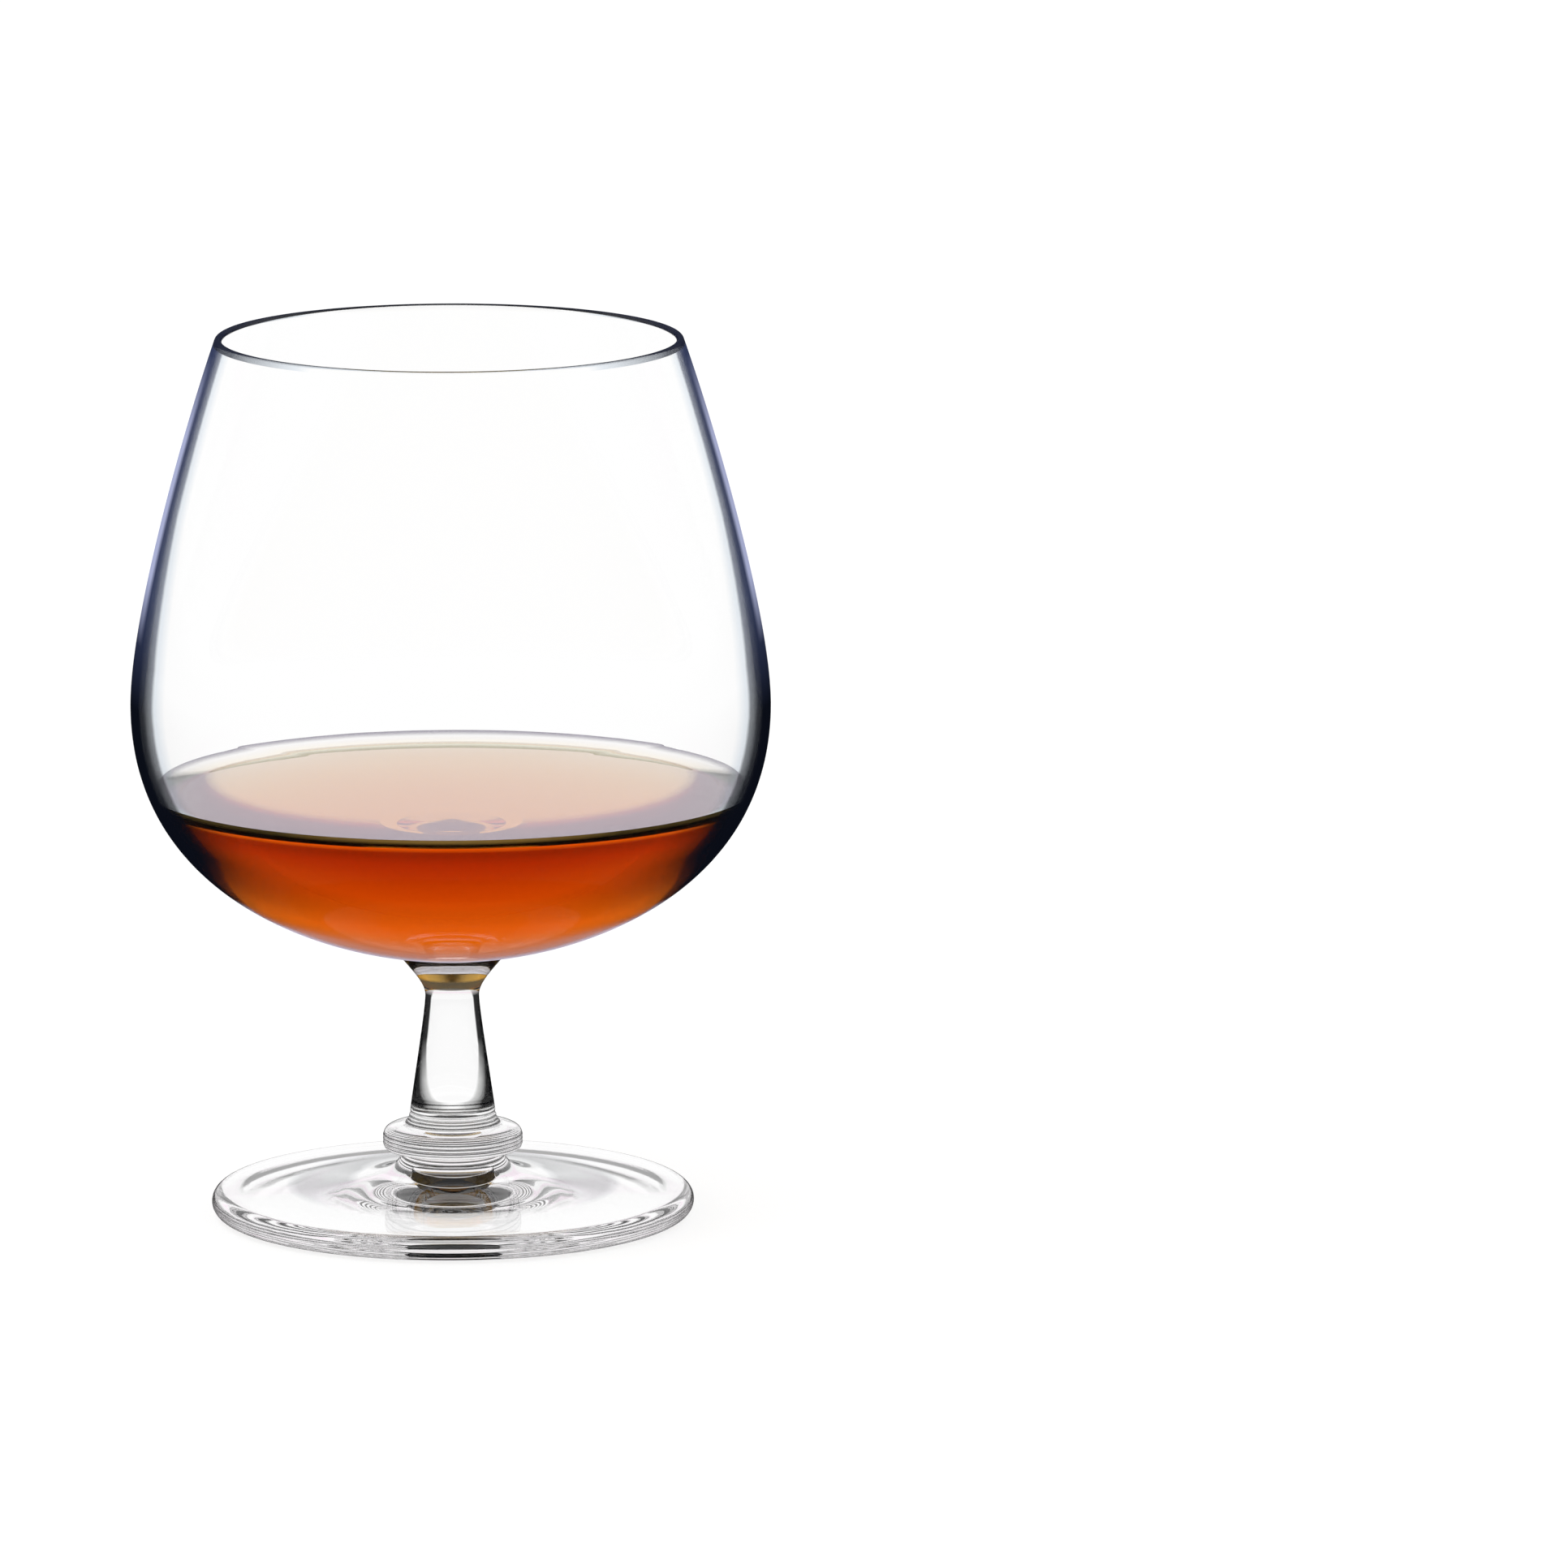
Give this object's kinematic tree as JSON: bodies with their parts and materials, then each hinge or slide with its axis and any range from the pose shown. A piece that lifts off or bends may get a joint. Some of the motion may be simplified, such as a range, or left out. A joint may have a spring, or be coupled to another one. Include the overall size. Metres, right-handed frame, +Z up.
{
  "type": "brandy snifter",
  "caption": "Stemmed brandy snifter: a wide bowl that narrows to the lip, on a short stem with a beaded collar and a round foot, holding a measure of brandy.",
  "frame": {"origin": "middle of the foot's resting plane, on the axis of the glass", "axes": "+Z up along the axis of the glass, from the foot to the lip; X and Y are alike because the glass is round"},
  "size_m": [0.0936, 0.0936, 0.13],
  "materials": {
    "foot_glass": "clear pressed soda-lime glass, fire polished",
    "collar_glass": "clear pressed soda-lime glass with fine beads",
    "stem_glass": "clear pressed soda-lime glass, fire polished",
    "bowl_glass": "thin clear blown glass with a fire-polished lip",
    "brandy": "clear amber liquid with a still surface"
  },
  "bodies": {
    "root": {"foot": "foot_glass", "collar": "collar_glass", "stem": "stem_glass", "bowl": "bowl_glass", "brandy": "brandy"}
  },
  "joints": []
}
